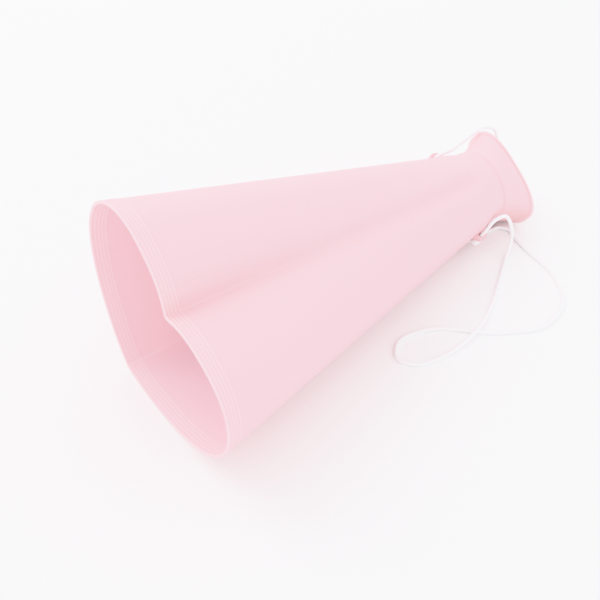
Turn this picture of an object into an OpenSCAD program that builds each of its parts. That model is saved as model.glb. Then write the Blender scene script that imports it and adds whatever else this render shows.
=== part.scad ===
// Cheer megaphone: a heart section horn lying on its flank, with a flat oval mouthpiece and a neck cord.
// All sizes are in millimetres. X runs from the bell to the mouth, Z is up, Z = 0 is the table.

/* [Horn] */
// Length from the bell rim to the mouthpiece lip
horn_len = 252; // [249:1:260]
// Half the width of the bell
bell_half_w = 63; // [60:0.5:66]
// Wall of the horn
wall = 1.4; // [1:0.1:2]
// Depth of the groove where it ends at the neck
groove_end = 1.8; // [0:0.1:2.4]

/* [Bell rim] */
// Length of the ribbed band behind the rim
band_len = 8.5; // [8.5:0.5:14]
// Number of fine ribs round the band
rib_count = 4; // [1:1:4]
// Height of each rib
rib_h = 0.25; // [0.1:0.05:0.4]
// Distance from one rib to the next
rib_pitch = 1.7; // [1.3:0.1:1.7]

/* [Mouthpiece] */
// Half the width of the mouth opening, outside
mouth_half_w = 30.5; // [28:0.5:33]
// Half the height of the mouth opening, outside
mouth_half_h = 15; // [14:0.5:17]
// Radius of the rolled lip
lip_r = 1.1; // [0.8:0.1:1.4]

/* [Cord lugs] */
// Distance each lug stands out from the neck
lug_out = 5; // [4.5:0.1:6]
// Thickness of each lug
lug_t = 2.4; // [1.6:0.1:3]
// Diameter of the hole that takes the cord
lug_hole = 3; // [2.6:0.1:3.4]

/* [Neck cord] */
// Diameter of the cord
cord_d = 2.2; // [1.6:0.1:2.4]

/* [Hidden] */
$fn = 48;
plastic = [0.98, 0.80, 0.80, 0.8];
white = [0.95, 0.94, 0.93];

// The way the horn lies: rolled onto its near flank, with its axis falling towards the mouth.
roll = 30.5;
droop = 6.3;

// Half outline of the bell as three curves, [across, up]: groove to lobe top, to the side, to the point.
lobe_curve = [[0, 36.5], [3, 37.5], [8, 48.5], [32, 48.5]];
side_curve = [[32, 48.5], [52, 48.5], [bell_half_w, 31], [bell_half_w, 16]];
point_curve = [[bell_half_w, 13.5], [bell_half_w, -20], [23, -50], [0, -56]];
lobe_steps = 9;
side_steps = 9;
point_steps = 14;
groove_w = 5;

// Sections of the neck: [station, half width, half height, groove depth, power, strip top, strip low].
// The strip is the flat part of the side, and the lugs stand on it.
neck_at = 200;
collar_at = 226;
sections = [[neck_at, 26.5, 27, groove_end, 2, 5, -1],
            [208, 25.5, 25.5, 0, 2, 5, -1],
            [216, 23, 24, 0, 2, 5, -1],
            [collar_at, 23, 22.5, 0, 2, 3, -1]];

// Section at the mouth, which the collar flares out to.
lip_at = horn_len - lip_r;
mouth_section = [lip_at, mouth_half_w, mouth_half_h, 0, 2.7, 0.5, -0.5];
flare_steps = 7;

// Rim lip, then the ribs: [station, height above the wall].
lip_h = 0.25;
lip_len = 0.9;
lip_end = 1.2;
first_rib = 2;
rib_half = 0.6;

lug_at = 209;
lug_r = 6;
lug_v = 2;
lug_wall = 1.3;

// Knots: how far each one reaches along the cord, and its thickness.
knot_len = 6;
knot_d = 4.4;

// Route of the neck cord along its centre, from the knot under the far lug to the knot by the near lug.
route = [[85.5, 31, 40], [86, 28.5, 44], [89, 27, 46], [97, 27.5, 44.5], [110, 30, 43.5],
         [124, 32, 43.5], [134, 32.5, 43], [140.5, 30, 40.5], [142, 26, 32], [140.5, 21, 14],
         [137, 17, 4], [129, 13, 1.2], [108, 9.5, 1.2], [98, 4, 1.2], [98, -5, 1.2],
         [103.5, -9.5, 1.2], [111, -11, 1.2], [114.5, -16, 1.2], [112, -25, 1.2], [109.5, -37, 1.2],
         [106.5, -57, 1.2], [93, -77, 1.2], [71, -82, 1.2], [49, -71.5, 1.2], [12, -42, 1.2],
         [-3, -40.5, 1.2], [-10.5, -48.5, 1.2], [-5.5, -57, 1.2], [8, -62, 1.2], [37.5, -61.5, 3.5],
         [55, -55, 2], [79, -41.5, 1.2], [95, -32, 1.5], [101, -28.5, 8], [101.5, -25.5, 18],
         [97.5, -22, 26], [89.5, -20.5, 25.5], [84, -20, 20], [83, -18.5, 16], [82.5, -16.5, 12.5]];
ring_gap = 9.5;
table_gap = 0.1;

function bezier(c, t) = pow(1 - t, 3) * c[0] + 3 * pow(1 - t, 2) * t * c[1] + 3 * (1 - t) * t * t * c[2]
    + pow(t, 3) * c[3];
function run(c, steps) = [for (i = [0 : steps - 1]) bezier(c, i / steps)];
top_steps = lobe_steps + side_steps;
bell_half = concat(run(lobe_curve, lobe_steps), run(side_curve, side_steps), [side_curve[3]],
                   run(point_curve, point_steps), [point_curve[3]]);

// Half outline of an oval section with the same count of points as the bell.
function oval_top(s, q) = [s[1] * pow(cos(q), 2 / s[4]), s[5] + (s[2] - s[5]) * pow(sin(q), 2 / s[4])];
function oval_low(s, q) = [s[1] * pow(cos(q), 2 / s[4]), s[6] - (s[2] + s[6]) * pow(sin(q), 2 / s[4])];
function groove(s, p) = [p[0], p[1] - s[3] * exp(-pow(p[0] / groove_w, 2))];
function oval_half(s) = concat([for (i = [0 : top_steps]) groove(s, oval_top(s, 90 - 90 * i / top_steps))],
                               [for (i = [0 : point_steps]) oval_low(s, 90 * i / point_steps)]);

// Half outline at any station: straight from the bell to the neck, then from section to section.
function mix(a, b, f) = [for (i = [0 : len(a) - 1]) a[i] + (b[i] - a[i]) * f];
function span(x, k = 0) = x > sections[k + 1][0] && k < len(sections) - 2 ? span(x, k + 1) : k;
function between(x, k) = oval_half(mix(sections[k], sections[k + 1],
                                       (x - sections[k][0]) / (sections[k + 1][0] - sections[k][0])));
function flare(x) =
    let (f = min(1, (x - collar_at) / (lip_at - collar_at)))
    oval_half(mix(sections[len(sections) - 1], mouth_section, f * f));
function half_at(x) = x > collar_at ? flare(x) :
    x < neck_at ? mix(bell_half, oval_half(sections[0]), x / neck_at) : between(x, span(x));
function full(h) = concat(h, [for (i = [len(h) - 2 : -1 : 1]) [-h[i][0], h[i][1]]]);
function outward(o, i) =
    let (t = o[(i + 1) % len(o)] - o[(i + len(o) - 1) % len(o)]) [-t[1], t[0]] / norm(t);

// One ring of points round the horn, lifted off the outline by an amount.
function ring(s) =
    let (o = full(half_at(s[0])))
    [for (i = [0 : len(o) - 1]) let (p = o[i] + s[1] * outward(o, i)) [s[0], p[0], p[1]]];

// Profiles in [station, lift]. Each goes along the outside and comes back inside.
function rib(k) = let (c = first_rib + k * rib_pitch) [[c - rib_half, 0], [c, rib_h], [c + rib_half, 0]];
band_profile = concat([[0, lip_h], [lip_len, lip_h], [lip_end, 0]],
                      [for (k = [0 : rib_count - 1]) each rib(k)],
                      [[band_len, 0], [band_len, -wall], [0, -wall]]);
cone_steps = 4;
cone_stations = [for (i = [0 : cone_steps - 1]) band_len + (neck_at - band_len) * i / cone_steps];
horn_stations = concat(cone_stations, [for (s = sections) s[0]]);
horn_profile = concat([for (x = horn_stations) [x, 0]],
                      [for (i = [len(horn_stations) - 1 : -1 : 0]) [horn_stations[i], -wall]]);
mouth_stations = [for (i = [0 : flare_steps - 1]) collar_at + (lip_at - collar_at) * i / flare_steps];
mouth_profile = concat([for (x = mouth_stations) [x, 0]],
                       [for (q = [180 : -40 : -60]) [lip_at + lip_r * cos(q), lip_r * sin(q)]],
                       [[lip_at - lip_r, -wall]],
                       [for (i = [len(mouth_stations) - 1 : -1 : 0]) [mouth_stations[i], -wall]]);

// Resting place: the lowest point is on the table, and the outline is centred over the origin.
function turned(p) =
    let (y = p[1] * cos(roll) - p[2] * sin(roll), z = p[1] * sin(roll) + p[2] * cos(roll))
    [p[0] * cos(droop) + z * sin(droop), y, z * cos(droop) - p[0] * sin(droop)];
skin = [for (s = concat(band_profile, mouth_profile)) each [for (p = ring(s)) turned(p)]];
function low(k) = min([for (p = skin) p[k]]);
function high(k) = max([for (p = skin) p[k]]);
place = [-(low(0) + high(0)) / 2, -(low(1) + high(1)) / 2, -low(2)];

module lying()
{
    translate(place)
    rotate([roll, droop, 0])
    children();
}

// Solid swept round the horn from a closed profile.
module round_horn(profile)
{
    rings = [for (s = profile) ring(s)];
    n = len(rings[0]);
    m = len(rings);
    function at(i, j) = (i % m) * n + j % n;
    polyhedron([for (r = rings) each r],
               [for (i = [0 : m - 1], j = [0 : n - 1])
                each [[at(i, j), at(i, j + 1), at(i + 1, j)],
                      [at(i + 1, j), at(i, j + 1), at(i + 1, j + 1)]]]);
}

module horn_shell()
{
    color(plastic) lying() round_horn(horn_profile);
}

module bell_rim()
{
    color(plastic) lying() round_horn(band_profile);
}

module mouthpiece()
{
    color(plastic) lying() round_horn(mouth_profile);
}

// Rounded tab with its root on the flat strip of the neck side. side is 1 or -1 across the horn.
module lug(side)
{
    root = [for (k = [0 : 2]) [sections[k][0], sections[k][1]]];
    edge = half_at(lug_at)[top_steps][0] + lug_out;
    color(plastic)
    lying()
    mirror([0, (1 - side) / 2, 0])
    translate([0, 0, lug_v - lug_t / 2])
    linear_extrude(lug_t)
    difference()
    {
        intersection()
        {
            translate([lug_at, edge - lug_r])
            circle(lug_r);
            polygon(concat(root, [[root[2][0], edge + 1], [root[0][0], edge + 1]]));
        }
        translate([lug_at, edge - lug_wall - lug_hole / 2])
        circle(d = lug_hole);
    }
}

module near_cord_lug()
{
    lug(-1);
}

module far_cord_lug()
{
    lug(1);
}

// Smooth path through the route: each step is a curve that leaves a point the way the last one came in.
function heading(r, i) =
    let (p = r[max(i - 1, 0)], q = r[i], s = r[min(i + 1, len(r) - 1)],
         before = norm(q - p), after = norm(s - q))
    before == 0 ? (s - q) / after : after == 0 ? (q - p) / before :
    (after * (q - p) / before + before * (s - q) / after) / (before + after);
function on_table(p) = [p[0], p[1], max(p[2], table_gap + cord_d / 2)];
function step_at(r, i, t) =
    let (h = norm(r[i + 1] - r[i]) / 3)
    on_table(bezier([r[i], r[i] + h * heading(r, i), r[i + 1] - h * heading(r, i + 1), r[i + 1]], t));
function rings_in(r, i) = ceil(norm(r[i + 1] - r[i]) / ring_gap);
path = concat([for (i = [0 : len(route) - 2])
               let (n = rings_in(route, i))
               for (k = [0 : n - 1]) step_at(route, i, k / n)],
              [route[len(route) - 1]]);

// Round tube along the path.
module neck_cord()
{
    n = len(path);
    sides = 8;
    along = [for (i = [0 : n - 1]) heading(path, i)];
    function square_to(v, t) = let (w = v - (v * t) * t) w / norm(w);
    function carried(v, i = 0) = i == n ? [] :
        let (w = square_to(v, along[i] / norm(along[i]))) concat([w], carried(w, i + 1));
    across = carried([1, 0, 0]);
    function at(i, j) = i * sides + j % sides;
    color(white)
    polyhedron([for (i = [0 : n - 1], j = [0 : sides - 1])
                let (q = 360 * j / sides, w = across[i], t = along[i] / norm(along[i]))
                path[i] + cord_d / 2 * (cos(q) * w + sin(q) * cross(t, w))],
               concat([[for (j = [0 : sides - 1]) j]],
                      [for (i = [0 : n - 2], j = [0 : sides - 1])
                       each [[at(i, j), at(i + 1, j), at(i, j + 1)],
                             [at(i + 1, j), at(i + 1, j + 1), at(i, j + 1)]]],
                      [[for (j = [sides - 1 : -1 : 0]) at(n - 1, j)]]));
}

// Lumpy knot centred at a point and drawn out along a direction.
module knot(centre, along)
{
    end_r = knot_d * 0.42;
    reach = knot_len / 2 - end_r;
    color(white)
    translate(centre)
    {
        sphere(d = knot_d);
        for (k = [-1, 1])
            translate(k * reach * along / norm(along))
            sphere(end_r);
    }
}

module near_cord_knot()
{
    knot([82, -16.5, 11], [1, -5, 8.5]);
}

module far_cord_knot()
{
    knot([85.5, 32, 39.5], [1, -5, 8.5]);
}

horn_shell();
bell_rim();
mouthpiece();
near_cord_lug();
far_cord_lug();
neck_cord();
near_cord_knot();
far_cord_knot();
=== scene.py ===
"""Looks of the cheer megaphone: camera, neck cord, moulded horn, knots, finishes, floor and light.

Metres throughout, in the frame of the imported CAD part. The horn is drawn in its own axes, in
millimetres, as [station along the horn, across, up], and then laid down where the CAD part lies.
"""

import math

import bpy
import numpy as np
from mathutils import Matrix, Vector


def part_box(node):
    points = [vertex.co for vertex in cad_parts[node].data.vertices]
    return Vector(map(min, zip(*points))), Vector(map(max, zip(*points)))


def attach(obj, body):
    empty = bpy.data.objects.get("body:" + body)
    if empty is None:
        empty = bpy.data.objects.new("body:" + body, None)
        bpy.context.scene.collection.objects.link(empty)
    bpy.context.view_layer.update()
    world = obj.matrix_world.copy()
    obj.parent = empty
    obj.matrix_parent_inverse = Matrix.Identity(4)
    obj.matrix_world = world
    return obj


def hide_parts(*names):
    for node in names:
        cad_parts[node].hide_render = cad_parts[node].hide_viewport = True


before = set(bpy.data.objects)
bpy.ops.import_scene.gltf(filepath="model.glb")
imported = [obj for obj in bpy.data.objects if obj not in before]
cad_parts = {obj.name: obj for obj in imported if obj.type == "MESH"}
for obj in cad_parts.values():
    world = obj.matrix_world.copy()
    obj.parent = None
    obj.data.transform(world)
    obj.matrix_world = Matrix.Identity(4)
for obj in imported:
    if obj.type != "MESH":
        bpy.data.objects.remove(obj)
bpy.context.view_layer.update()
scene = bpy.context.scene
MM = 0.001
# Edges that turn by more than this stay sharp, or get a small bevel on the lugs.
SOFTEST_EDGE = math.radians(50)

# ---------------------------------------------------------------- camera
AIM = Vector((-0.0261, 0.0179, 0.0003))
CAMERA_TURN = math.radians(52.4)
CAMERA_RISE = math.radians(48.75)
CAMERA_AWAY = 0.4083
CAMERA_LENS = 42.1
SENSOR = 36
NEAREST_SEEN = 0.01

look = Vector((math.cos(CAMERA_RISE) * math.cos(CAMERA_TURN),
               math.cos(CAMERA_RISE) * math.sin(CAMERA_TURN),
               -math.sin(CAMERA_RISE)))
right = Vector((math.sin(CAMERA_TURN), -math.cos(CAMERA_TURN), 0))
camera_data = bpy.data.cameras.new("camera")
camera_data.sensor_width = SENSOR
camera_data.lens = CAMERA_LENS
camera_data.clip_start = NEAREST_SEEN
camera = bpy.data.objects.new("camera", camera_data)
scene.collection.objects.link(camera)
turn = Matrix((right, right.cross(look), -look)).transposed()
camera.matrix_world = Matrix.Translation(AIM - CAMERA_AWAY * look) @ turn.to_4x4()
scene.camera = camera


# ---------------------------------------------------------------- mesh helpers
# A tube's first ring starts square to this direction. Its end cones stick out by TIP radii.
FIRST_ACROSS = (0.3, 0.2, 1.0)
TIP = 0.45


def mesh_piece(name, verts, faces, smooth=True, uvs=None):
    """A mesh object from lists of vertices and faces, with an optional UV for each corner."""
    mesh = bpy.data.meshes.new(name)
    mesh.from_pydata([tuple(v) for v in verts], [], [tuple(f) for f in faces])
    mesh.validate()
    if uvs is not None:
        layer = mesh.uv_layers.new(name="UVMap")
        for loop in mesh.loops:
            layer.data[loop.index].uv = uvs[loop.index]
    for polygon in mesh.polygons:
        polygon.use_smooth = smooth
    piece = bpy.data.objects.new(name, mesh)
    scene.collection.objects.link(piece)
    return piece


def tube(name, path, radius, sides=20):
    """A round tube along a path, closed at both ends with a low cone. u runs round it, v along it."""
    path = np.asarray(path, float)
    along = np.gradient(path, axis=0)
    along /= np.linalg.norm(along, axis=1, keepdims=True)
    across = np.cross(along[0], FIRST_ACROSS)
    verts, runs, run = [], [], 0.0
    for i, (p, t) in enumerate(zip(path, along)):
        across = across - across.dot(t) * t
        across /= np.linalg.norm(across)
        other = np.cross(t, across)
        if i:
            run += float(np.linalg.norm(p - path[i - 1]))
        runs.append(run)
        for j in range(sides):
            q = 2 * math.pi * j / sides
            verts.append(p + radius * (math.cos(q) * across + math.sin(q) * other))
    faces, uvs = [], []
    for i in range(len(path) - 1):
        for j in range(sides):
            k = (j + 1) % sides
            faces.append((i * sides + j, i * sides + k, (i + 1) * sides + k, (i + 1) * sides + j))
            u0, u1, v0, v1 = j / sides, (j + 1) / sides, runs[i], runs[i + 1]
            uvs += [(u0, v0), (u1, v0), (u1, v1), (u0, v1)]
    for i, flip in ((0, True), (len(path) - 1, False)):
        tip = len(verts)
        verts.append(path[i] + along[i] * radius * (-TIP if flip else TIP))
        for j in range(sides):
            k = (j + 1) % sides
            a, b = (i * sides + k, i * sides + j) if flip else (i * sides + j, i * sides + k)
            faces.append((a, b, tip))
            uvs += [(0, runs[i])] * 3
    return mesh_piece(name, verts, faces, uvs=uvs)


# ---------------------------------------------------------------- neck cord
CORD_D = 0.0022
TABLE_GAP = 0.0001
# The same points as the CAD part's cord, in millimetres.
ROUTE = np.array([
    (85.5, 31, 40), (86, 28.5, 44), (89, 27, 46), (97, 27.5, 44.5), (110, 30, 43.5),
    (124, 32, 43.5), (134, 32.5, 43), (140.5, 30, 40.5), (142, 26, 32), (140.5, 21, 14),
    (137, 17, 4), (129, 13, 1.2), (108, 9.5, 1.2), (98, 4, 1.2), (98, -5, 1.2),
    (103.5, -9.5, 1.2), (111, -11, 1.2), (114.5, -16, 1.2), (112, -25, 1.2), (109.5, -37, 1.2),
    (106.5, -57, 1.2), (93, -77, 1.2), (71, -82, 1.2), (49, -71.5, 1.2), (12, -42, 1.2),
    (-3, -40.5, 1.2), (-10.5, -48.5, 1.2), (-5.5, -57, 1.2), (8, -62, 1.2), (37.5, -61.5, 3.5),
    (55, -55, 2), (79, -41.5, 1.2), (95, -32, 1.5), (101, -28.5, 8), (101.5, -25.5, 18),
    (97.5, -22, 26), (89.5, -20.5, 25.5), (84, -20, 20), (83, -18.5, 16), (82.5, -16.5, 12.5)
]) * MM
CORD_STEPS = 10


def heading(points, i):
    """The way the path runs at a point, from its two neighbours, the nearer one counting more."""
    before = points[i] - points[max(i - 1, 0)]
    after = points[min(i + 1, len(points) - 1)] - points[i]
    a, b = np.linalg.norm(before), np.linalg.norm(after)
    if a == 0:
        return after / b
    if b == 0:
        return before / a
    return (b * before / a + a * after / b) / (a + b)


def bezier(c, t):
    """The point at t on a curve with four control points."""
    c = [np.asarray(p, float) for p in c]
    return ((1 - t) ** 3 * c[0] + 3 * (1 - t) ** 2 * t * c[1]
            + 3 * (1 - t) * t * t * c[2] + t ** 3 * c[3])


def smooth_path(points, steps):
    """A smooth path through the points, with so many steps from each to the next."""
    path = []
    for i in range(len(points) - 1):
        h = np.linalg.norm(points[i + 1] - points[i]) / 3
        ends = (points[i], points[i] + h * heading(points, i),
                points[i + 1] - h * heading(points, i + 1), points[i + 1])
        path += [bezier(ends, k / steps) for k in range(steps)]
    return np.array(path + [points[-1]])


cord_path = smooth_path(ROUTE, CORD_STEPS)
cord_path[:, 2] = np.maximum(cord_path[:, 2], TABLE_GAP + CORD_D / 2)
cord = tube("neck_cord_braid", cord_path, CORD_D / 2)
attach(cord, "root")
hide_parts("neck_cord")

# The wraps of a knot, in cord radii: how far out they lie and their pitch. Then the tail that is tucked.
WRAP_OUT = 1.5
WRAP_UNEVEN = 0.05
WRAP_PITCH = 1.75
POINTS_A_TURN = 14
TAIL_POINTS = 7
TAIL_LENGTH = 0.004
TAIL_SWING = 1.2
TAIL_BEND = 1.4
TAIL_LIFT = 0.5
TUCKED = 0.97
KNOT_SIDES = 18
KNOT_ALONG = (1, -5, 8.5)


def wrapped_knot(name, centre, turns):
    """The cord's own end wound round it and tucked: a helix, then a short tail."""
    t = np.array(KNOT_ALONG, float)
    t /= np.linalg.norm(t)
    a = np.array((1, 0, 0), float)
    a -= a.dot(t) * t
    a /= np.linalg.norm(a)
    b = np.cross(t, a)
    c = np.array(centre) * MM
    r = CORD_D / 2
    points = []
    count = int(turns * POINTS_A_TURN)
    for i in range(count + 1):
        f = i / count
        q = 2 * math.pi * turns * f
        wide = WRAP_OUT * r * (1 + WRAP_UNEVEN * math.sin(3 * q))
        points.append(c + wide * (math.cos(q) * a + math.sin(q) * b)
                      + t * r * (WRAP_PITCH * turns * (0.5 - f)))
    q = 2 * math.pi * turns
    outward = math.cos(q) * a + math.sin(q) * b
    onward = -math.sin(q) * a + math.cos(q) * b
    last = points[-1]
    for k in range(1, TAIL_POINTS + 1):
        f = k / TAIL_POINTS
        points.append(last + onward * r * TAIL_SWING * math.sin(f * TAIL_BEND)
                      - t * TAIL_LENGTH * f + outward * r * TAIL_LIFT * f * f)
    return tube(name, points, r * TUCKED, sides=KNOT_SIDES)


near_knot = wrapped_knot("near_cord_knot_wraps", centre=(82, -16.5, 11), turns=2.2)
far_knot = wrapped_knot("far_cord_knot_wraps", centre=(85.5, 32, 39.5), turns=2.0)
for knot, node in ((near_knot, "near_cord_knot"), (far_knot, "far_cord_knot")):
    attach(knot, "root")
    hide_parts(node)

# ---------------------------------------------------------------- horn, in its own axes
ROLL = math.radians(30.5)
DROOP = math.radians(6.3)
WALL = 1.4
LENGTH = 252.0
NECK_AT = 200.0
COLLAR_AT = 226.0
LIP_R = 1.1
BAND_LEN = 8.5
LIP_AT = LENGTH - LIP_R
# Half of the bell's outline as three curves: over the lobe, down the side, and in to the point.
LOBE = [(0, 36.5), (3, 37.5), (8, 48.5), (32, 48.5)]
SIDE = [(32, 48.5), (52, 48.5), (63, 31), (63, 16)]
POINT = [(63, 13.5), (63, -20), (23, -50), (0, -56)]
GROOVE_W = 5.0
# Sections of the neck, then of the mouth, which the collar flares out to:
# station, half width, half height, groove depth, power, strip top, strip low
SECTIONS = np.array([
    (NECK_AT, 26.5, 27, 1.8, 2, 5, -1), (208, 25.5, 25.5, 0, 2, 5, -1),
    (216, 23, 24, 0, 2, 5, -1), (COLLAR_AT, 23, 22.5, 0, 2, 3, -1)], float)
MOUTH = np.array((LIP_AT, 30.5, 15, 0, 2.7, 0.5, -0.5))
LOBE_STEPS, SIDE_STEPS, POINT_STEPS = 27, 27, 42
TOP_STEPS = LOBE_STEPS + SIDE_STEPS


def run(curve, steps):
    """Points along a curve, without its last one."""
    return [bezier(curve, i / steps) for i in range(steps)]


BELL_HALF = np.array(run(LOBE, LOBE_STEPS) + run(SIDE, SIDE_STEPS) + [np.array(SIDE[3], float)]
                     + run(POINT, POINT_STEPS) + [np.array(POINT[3], float)])


def oval_half(s):
    """Half outline of an oval section, with as many points as the bell's."""
    q = np.radians(90 - 90 * np.arange(TOP_STEPS + 1) / TOP_STEPS)
    c, n = np.clip(np.cos(q), 0, 1), np.clip(np.sin(q), 0, 1)
    top = np.stack([s[1] * c ** (2 / s[4]), s[5] + (s[2] - s[5]) * n ** (2 / s[4])], -1)
    top[0, 0] = 0
    top[:, 1] -= s[3] * np.exp(-(top[:, 0] / GROOVE_W) ** 2)
    q = np.radians(90 * np.arange(POINT_STEPS + 1) / POINT_STEPS)
    c, n = np.clip(np.cos(q), 0, 1), np.clip(np.sin(q), 0, 1)
    low = np.stack([s[1] * c ** (2 / s[4]), s[6] - (s[2] + s[6]) * n ** (2 / s[4])], -1)
    low[-1, 0] = 0
    return np.vstack([top, low])


def raw_half(x):
    """Half outline at a station, as in the CAD part."""
    if x < NECK_AT:
        return BELL_HALF + (oval_half(SECTIONS[0]) - BELL_HALF) * x / NECK_AT
    if x > COLLAR_AT:
        f = min(1.0, (x - COLLAR_AT) / (LIP_AT - COLLAR_AT))
        return oval_half(SECTIONS[-1] + (MOUTH - SECTIONS[-1]) * f * f)
    return oval_half(np.array([np.interp(x, SECTIONS[:, 0], SECTIONS[:, k]) for k in range(7)]))


# How far the steps between the neck's sections are softened, and the weights of that softening.
SOFT_REACH = 2.2
SOFT_SLOPE, SOFT_LEAST = 0.6, 0.15
NECK_MARGIN = 6
SOFT_OFFSETS = (-1.5, -0.75, 0, 0.75, 1.5)
SOFT_WEIGHTS = (0.1, 0.23, 0.34, 0.23, 0.1)


def half_at(x):
    """The CAD outline with the steps between its sections softened up to the crease at the collar."""
    if not NECK_AT - NECK_MARGIN < x < COLLAR_AT:
        return raw_half(x)
    soft = min(SOFT_REACH, (COLLAR_AT - x) * SOFT_SLOPE + SOFT_LEAST)
    return sum(w * raw_half(x + soft * o) for w, o in zip(SOFT_WEIGHTS, SOFT_OFFSETS))


# The line round the collar as height, station and half width, and how far up its ends fade in.
RIDGE = (0.3, 223.2, 1.3)
VALLEY = (-0.85, 226.2, 1.0)
CREASE_LOW, CREASE_FADES = -4, 18


def wave(shape, x):
    """Height of a soft ridge or valley at a station."""
    height, middle, half = shape
    return height * math.exp(-((x - middle) / half) ** 2)


def crease(x, up):
    """The soft line round the collar: a shallow valley, a faint ridge before it, clearest on top."""
    return np.clip((up - CREASE_LOW) / CREASE_FADES, 0, 1) * (wave(RIDGE, x) + wave(VALLEY, x))


# The groove's extra depth, its half width, and the stations between which it grows and fades.
FOLD_DEPTH, FOLD_HALF = 0.9, 5.5
FOLD_FROM, FOLD_GROWS, FOLD_END, FOLD_FADES = 90, 80, 208.5, 5


def fold(x, across, up):
    """The groove's bottom, drawn a little deeper towards the neck, where it ends in a short step."""
    share = min(1, max(0, (x - FOLD_FROM) / FOLD_GROWS)) * min(1, max(0, (FOLD_END - x) / FOLD_FADES))
    return -FOLD_DEPTH * share * np.exp(-(across / FOLD_HALF) ** 2) * (up > 0)


def ring(x, lift):
    """One ring of points round the horn at a station, lifted off the outline by an amount."""
    half = half_at(x)
    o = np.vstack([half, half[1:-1][::-1] * (-1, 1)])
    t = np.roll(o, -1, 0) - np.roll(o, 1, 0)
    out = np.stack([-t[:, 1], t[:, 0]], -1)
    out /= np.linalg.norm(out, axis=1, keepdims=True)
    p = o + (lift + crease(x, o[:, 1]) + fold(x, o[:, 0], o[:, 1]))[:, None] * out
    return np.column_stack([np.full(len(p), x), p])


def turned(p):
    """Points of the horn rolled onto its flank, with the mouth end drooping."""
    p = np.asarray(p, float)
    y = p[..., 1] * math.cos(ROLL) - p[..., 2] * math.sin(ROLL)
    z = p[..., 1] * math.sin(ROLL) + p[..., 2] * math.cos(ROLL)
    return np.stack([p[..., 0] * math.cos(DROOP) + z * math.sin(DROOP), y,
                     z * math.cos(DROOP) - p[..., 0] * math.sin(DROOP)], -1)


FIRST_RIB, RIB_PITCH, RIB_COUNT, RIB_H, RIB_HALF = 2.0, 1.7, 4, 0.25, 0.6
LIP_H, LIP_LEN, LIP_END = 0.25, 0.9, 1.2
# The inside carries a fainter print of the ribs, the rim's two edges are rounded, and a rib shape
# below 1 makes the ribs broader.
INNER_RIBS = 0.4
OUTER_ROUND, INNER_ROUND = 0.55, 0.45
RIB_SHAPE = 0.8
# The rings of points: their spacing over the ribs outside and inside, where those rings start, how many
# the cone has, their spacing along the neck and the flare, and in degrees round the lip. The leads are
# the gaps that the cone leaves before the neck's rings and the flare before the lip's.
RIB_GRID, INNER_GRID = 0.15, 0.2
RIBS_FROM = 1.4
CONE_STATIONS = 30
NECK_LEAD = 8
NECK_GRID = 1.0
LIP_LEAD = 2.2 * LIP_R
LIP_TURN = 15


def rib_lift(x):
    """Height of the ribs at a station."""
    lift = 0.0
    for k in range(RIB_COUNT):
        d = abs(x - FIRST_RIB - k * RIB_PITCH) / RIB_HALF
        if d < 1:
            lift = max(lift, RIB_H * (0.5 + 0.5 * math.cos(math.pi * d)) ** RIB_SHAPE)
    return lift


def band_profile():
    """The rim and its band in [station, lift], along the outside and back along the inside."""
    r = OUTER_ROUND
    edge = [(r - r * math.sin(q), LIP_H - r + r * math.cos(q)) for q in np.radians((90, 65, 40, 20, 0))]
    outside = edge + [(LIP_LEN, LIP_H), (1.05, LIP_H * 0.6), (LIP_END, 0.02)]
    outside += [(x, rib_lift(x)) for x in np.arange(RIBS_FROM, BAND_LEN, RIB_GRID)] + [(BAND_LEN, 0)]
    inside = [(BAND_LEN, -WALL)]
    inside += [(x, -WALL + INNER_RIBS * rib_lift(x))
               for x in np.arange(BAND_LEN - INNER_GRID, RIBS_FROM, -INNER_GRID)]
    r = INNER_ROUND
    inside += [(2 * r, -WALL)]
    inside += [(r - r * math.sin(q), -WALL + r - r * math.cos(q)) for q in np.radians((0, 30, 60, 90))]
    return outside + inside


def shell_profile():
    """The cone and the neck, from the band to the collar."""
    stations = list(np.linspace(BAND_LEN, NECK_AT - NECK_LEAD, CONE_STATIONS))
    stations += list(np.arange(NECK_AT - NECK_MARGIN, COLLAR_AT, NECK_GRID)) + [COLLAR_AT]
    return [(x, 0) for x in stations] + [(x, -WALL) for x in stations[::-1]]


def mouth_profile():
    """The flare from the collar to the mouth, with the rolled lip."""
    stations = list(np.arange(COLLAR_AT, LENGTH - LIP_LEAD, NECK_GRID))
    lip = [(LIP_AT + LIP_R * math.cos(q), LIP_R * math.sin(q))
           for q in np.radians(np.arange(180, -81, -LIP_TURN))]
    inside = [(LIP_AT - LIP_R, -WALL)] + [(x, -WALL) for x in stations[::-1]]
    return [(x, 0) for x in stations] + lip + inside


def swept(profile):
    """Vertices and faces of a solid swept round the horn, still in the horn's own axes."""
    rings = [ring(x, lift) for x, lift in profile]
    m, n = len(rings), len(rings[0])
    faces = []
    for i in range(m):
        for j in range(n):
            a, b = i * n + j, i * n + (j + 1) % n
            c, d = ((i + 1) % m) * n + (j + 1) % n, ((i + 1) % m) * n + j
            faces.append((a, b, c, d))
    return np.vstack(rings), faces


PROFILES = {"horn_shell": shell_profile(), "bell_rim": band_profile(), "mouthpiece": mouth_profile()}
bodies = {n: swept(profile) for n, profile in PROFILES.items()}
laid = {n: turned(v) * MM for n, (v, f) in bodies.items()}
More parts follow.
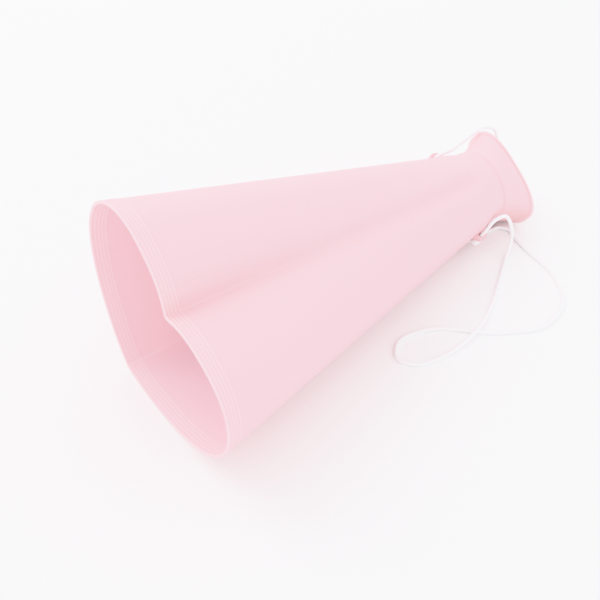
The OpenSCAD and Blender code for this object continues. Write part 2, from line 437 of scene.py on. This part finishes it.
# The horn is moved so that its box, seen from above, is centred on the CAD part's and stands as low.
everything = np.vstack(list(laid.values()))
corners = np.array([[list(c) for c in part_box(n)] for n in bodies])
cad_mid = (corners[:, 0].min(0) + corners[:, 1].max(0)) / 2
own_mid = (everything.min(0) + everything.max(0)) / 2
place = cad_mid - own_mid
place[2] = corners[:, 0].min(0)[2] - everything.min(0)[2]
horn = {}
for name, (verts, faces) in bodies.items():
    horn[name] = mesh_piece(name + "_moulding", laid[name] + place, faces)
    horn[name].data.set_sharp_from_angle(angle=SOFTEST_EDGE)
    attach(horn[name], "root")
    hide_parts(name)

# How strong the painted highlight is on the lip and on the line inside the point, how far that line
# reaches, and its half width.
LIP_HIGHLIGHT = 0.8
POINT_LINE_HIGHLIGHT, POINT_LINE_HIGHLIGHT_REACH, POINT_LINE_HIGHLIGHT_HALF = 0.9, 45, 0.1


def painted_highlight_of(name, x, across, up, lift):
    """How much painted highlight a spot gets, paler than the wall: rib crests, rim edge, rolled lip, line
    inside the point.
    """
    if name == "mouthpiece":
        return LIP_HIGHLIGHT if x > LIP_AT - LIP_R else 0.0
    highlit = 0.0
    if name == "bell_rim":
        highlit = 1.0 if x < LIP_LEN else rib_lift(x) / RIB_H
    # Painted highlight along the crease inside the point, fading out away from the rim.
    if lift < -WALL / 2 and abs(across) < POINT_LINE_HIGHLIGHT_HALF and up < 0:
        highlit = max(highlit, POINT_LINE_HIGHLIGHT * max(0.0, 1 - x / POINT_LINE_HIGHLIGHT_REACH))
    return highlit


# Every vertex carries its painted highlight as an attribute that the material reads.
for name, (verts, faces) in bodies.items():
    lifts = np.repeat([lift for x, lift in PROFILES[name]], len(verts) // len(PROFILES[name]))
    painted_highlight = horn[name].data.attributes.new("painted_highlight", "FLOAT", "POINT")
    painted_highlight.data.foreach_set("value", [painted_highlight_of(name, *v, lift) for v, lift in zip(verts, lifts)])

LUG_EDGE = 0.0005
for name in ("near_cord_lug", "far_cord_lug"):
    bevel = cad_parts[name].modifiers.new("soft_edges", "BEVEL")
    bevel.width = LUG_EDGE
    bevel.segments = 3
    bevel.angle_limit = SOFTEST_EDGE


# ---------------------------------------------------------------- finishes
def new_material(name):
    """A material with an empty node tree."""
    material = bpy.data.materials.new(name)
    material.use_nodes = True
    tree = material.node_tree
    tree.nodes.clear()
    return material, tree


def add(tree, kind, **values):
    """A node, with its input values or its settings given by name."""
    node = tree.nodes.new(kind)
    for key, value in values.items():
        if key in node.inputs:
            node.inputs[key].default_value = value
        else:
            setattr(node, key, value)
    return node


# The colour sockets of Blender's Mix node.
MIX_LOW, MIX_HIGH, MIX_RESULT = 6, 7, 2


def blend_of(tree, low, high, factor):
    """A mix of two colours by a factor. Either end may be a colour or a socket."""
    mix = add(tree, "ShaderNodeMix", data_type="RGBA")
    for slot, colour in ((MIX_LOW, low), (MIX_HIGH, high)):
        if isinstance(colour, tuple):
            mix.inputs[slot].default_value = (*colour, 1)
        else:
            tree.links.new(colour, mix.inputs[slot])
    tree.links.new(factor, mix.inputs["Factor"])
    return mix.outputs[MIX_RESULT]


# The pinks: a cloudy tone that varies at random, a painted shade for hollows, a painted highlight for
# crests with its share, and the colour and share of the light let through.
CLOUD_PINKS = (0.93, 0.735, 0.795), (0.95, 0.765, 0.82)
PAINTED_SHADE_PINK = (0.91, 0.645, 0.665)
PAINTED_HIGHLIGHT_PINK = (0.98, 0.90, 0.92)
PAINTED_HIGHLIGHT_SHARE = 0.42
GLOW_PINK = (0.97, 0.81, 0.81, 1)
GLOW_SHARE = 0.26


def pink_plastic():
    """Pale pink moulded plastic that lets some light through, with painted shade deepening the pink in
    hollows and a painted highlight paling it on crests.
    """
    material, tree = new_material("translucent_pink_plastic")
    link = tree.links.new
    place_in = add(tree, "ShaderNodeTexCoord")
    cloud = add(tree, "ShaderNodeTexNoise", Scale=22, Detail=3)
    link(place_in.outputs["Object"], cloud.inputs["Vector"])
    tint = blend_of(tree, *CLOUD_PINKS, cloud.outputs["Fac"])
    # Painted highlight: rib crests, the rim edge, the lip and the line inside the point are mixed towards
    # a paler pink.
    crests = add(tree, "ShaderNodeAttribute", attribute_name="painted_highlight")
    share = add(tree, "ShaderNodeMath", operation="MULTIPLY")
    share.inputs[1].default_value = PAINTED_HIGHLIGHT_SHARE
    link(crests.outputs["Fac"], share.inputs[0])
    # Painted shade: where ambient occlusion finds the wall closed in, as in the groove, the collar
    # crease, round the lugs and inside the horn, the pink is mixed towards a deeper pink.
    painted_shade_ao = add(tree, "ShaderNodeAmbientOcclusion", samples=8, Distance=0.04)
    depth = add(tree, "ShaderNodeMapRange", **{"From Min": 0.98, "From Max": 0.5})
    link(painted_shade_ao.outputs["AO"], depth.inputs["Value"])
    painted_shade_tint = blend_of(tree, tint, PAINTED_SHADE_PINK, depth.outputs[0])
    highlit = blend_of(tree, painted_shade_tint, PAINTED_HIGHLIGHT_PINK, share.outputs[0])
    grain = add(tree, "ShaderNodeTexNoise", Scale=2600, Detail=2)
    link(place_in.outputs["Object"], grain.inputs["Vector"])
    flow = add(tree, "ShaderNodeTexNoise", Scale=60, Detail=2)
    link(place_in.outputs["Object"], flow.inputs["Vector"])
    fine = add(tree, "ShaderNodeBump", Strength=0.12, Distance=0.00005)
    link(grain.outputs["Fac"], fine.inputs["Height"])
    broad = add(tree, "ShaderNodeBump", Strength=0.25, Distance=0.0002)
    link(flow.outputs["Fac"], broad.inputs["Height"])
    link(fine.outputs["Normal"], broad.inputs["Normal"])
    surface = add(tree, "ShaderNodeBsdfPrincipled", Roughness=0.42, IOR=1.49,
                  **{"Specular IOR Level": 0.35})
    link(highlit, surface.inputs["Base Color"])
    link(broad.outputs["Normal"], surface.inputs["Normal"])
    through = add(tree, "ShaderNodeBsdfTranslucent", Color=GLOW_PINK)
    both = add(tree, "ShaderNodeMixShader", Fac=GLOW_SHARE)
    link(surface.outputs["BSDF"], both.inputs[1])
    link(through.outputs["BSDF"], both.inputs[2])
    out = add(tree, "ShaderNodeOutputMaterial")
    link(both.outputs["Shader"], out.inputs["Surface"])
    return material


BRAID_STRANDS = 8
BRAID_PITCH = CORD_D * 2.6
BRAID_SHADED_AND_LIT_WHITES = (0.86, 0.85, 0.86), (0.95, 0.945, 0.95)


def white_cord():
    """Smooth white braid: two sets of strands that wind opposite ways round the cord."""
    material, tree = new_material("white_braided_cord")
    link = tree.links.new
    uv = add(tree, "ShaderNodeUVMap", uv_map="UVMap")
    split = add(tree, "ShaderNodeSeparateXYZ")
    link(uv.outputs["UV"], split.inputs["Vector"])
    waves = []
    for way in (1, -1):
        around = add(tree, "ShaderNodeMath", operation="MULTIPLY")
        around.inputs[1].default_value = 2 * math.pi * BRAID_STRANDS
        link(split.outputs["X"], around.inputs[0])
        onward = add(tree, "ShaderNodeMath", operation="MULTIPLY")
        onward.inputs[1].default_value = way * 2 * math.pi * BRAID_STRANDS / BRAID_PITCH / 2
        link(split.outputs["Y"], onward.inputs[0])
        both = add(tree, "ShaderNodeMath", operation="ADD")
        link(around.outputs[0], both.inputs[0])
        link(onward.outputs[0], both.inputs[1])
        wave = add(tree, "ShaderNodeMath", operation="SINE")
        link(both.outputs[0], wave.inputs[0])
        waves.append(wave)
    weave = add(tree, "ShaderNodeMath", operation="MULTIPLY")
    link(waves[0].outputs[0], weave.inputs[0])
    link(waves[1].outputs[0], weave.inputs[1])
    bump = add(tree, "ShaderNodeBump", Strength=0.5, Distance=0.00012)
    link(weave.outputs[0], bump.inputs["Height"])
    # Painted shade and light: the braid is a darker white where the weave's bump runs low between the
    # strands, and a paler white on the strands' tops.
    shade = add(tree, "ShaderNodeMapRange", **{"From Min": -1})
    link(weave.outputs[0], shade.inputs["Value"])
    tint = blend_of(tree, *BRAID_SHADED_AND_LIT_WHITES, shade.outputs[0])
    surface = add(tree, "ShaderNodeBsdfPrincipled", Roughness=0.55, **{"Sheen Weight": 0.3})
    link(tint, surface.inputs["Base Color"])
    link(bump.outputs["Normal"], surface.inputs["Normal"])
    out = add(tree, "ShaderNodeOutputMaterial")
    link(surface.outputs["BSDF"], out.inputs["Surface"])
    return material


PAPER_WHITES = (0.895, 0.895, 0.90), (0.91, 0.91, 0.905)


def paper_floor():
    """Plain off-white paper with a faint mottle."""
    material, tree = new_material("white_paper")
    link = tree.links.new
    place_in = add(tree, "ShaderNodeTexCoord")
    mottle = add(tree, "ShaderNodeTexNoise", Scale=3)
    link(place_in.outputs["Object"], mottle.inputs["Vector"])
    tint = blend_of(tree, *PAPER_WHITES, mottle.outputs["Fac"])
    surface = add(tree, "ShaderNodeBsdfPrincipled", Roughness=0.8, **{"Specular IOR Level": 0.1})
    link(tint, surface.inputs["Base Color"])
    out = add(tree, "ShaderNodeOutputMaterial")
    link(surface.outputs["BSDF"], out.inputs["Surface"])
    return material


pink, white, paper = pink_plastic(), white_cord(), paper_floor()
for piece in list(horn.values()) + [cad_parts["near_cord_lug"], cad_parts["far_cord_lug"]]:
    piece.data.materials.clear()
    piece.data.materials.append(pink)
for piece in (cord, near_knot, far_knot):
    piece.data.materials.clear()
    piece.data.materials.append(white)

# ---------------------------------------------------------------- floor and light
HALF_FLOOR = 3
SKY_COLOUR = (0.985, 0.985, 1.0, 1)
SKY_STRENGTH = 0.82
WINDOW_AT = (-0.35, 1.15, 1.1)
WINDOW_AIM = (0, 0, 0)
WINDOW_SIZE = 1.2
WINDOW_WATTS = 12.0
WINDOW_COLOUR = (1.0, 0.995, 1.0)
EXPOSURE = 1.0

floor_corners = [(x * HALF_FLOOR, y * HALF_FLOOR, 0) for x, y in ((-1, -1), (1, -1), (1, 1), (-1, 1))]
floor = mesh_piece("floor", floor_corners, [(0, 1, 2, 3)], smooth=False)
floor.data.materials.append(paper)

world = bpy.data.worlds.new("soft_room")
scene.world = world
world.use_nodes = True
sky = world.node_tree.nodes["Background"]
sky.inputs["Color"].default_value = SKY_COLOUR
sky.inputs["Strength"].default_value = SKY_STRENGTH

window_data = bpy.data.lights.new("window", "AREA")
window_data.size = WINDOW_SIZE
window_data.energy = WINDOW_WATTS
window_data.color = WINDOW_COLOUR
window = bpy.data.objects.new("window", window_data)
window.location = WINDOW_AT
window.rotation_euler = (Vector(WINDOW_AIM) - Vector(WINDOW_AT)).to_track_quat("-Z", "Y").to_euler()
scene.collection.objects.link(window)
scene.view_settings.view_transform = "Khronos PBR Neutral"
scene.view_settings.exposure = EXPOSURE
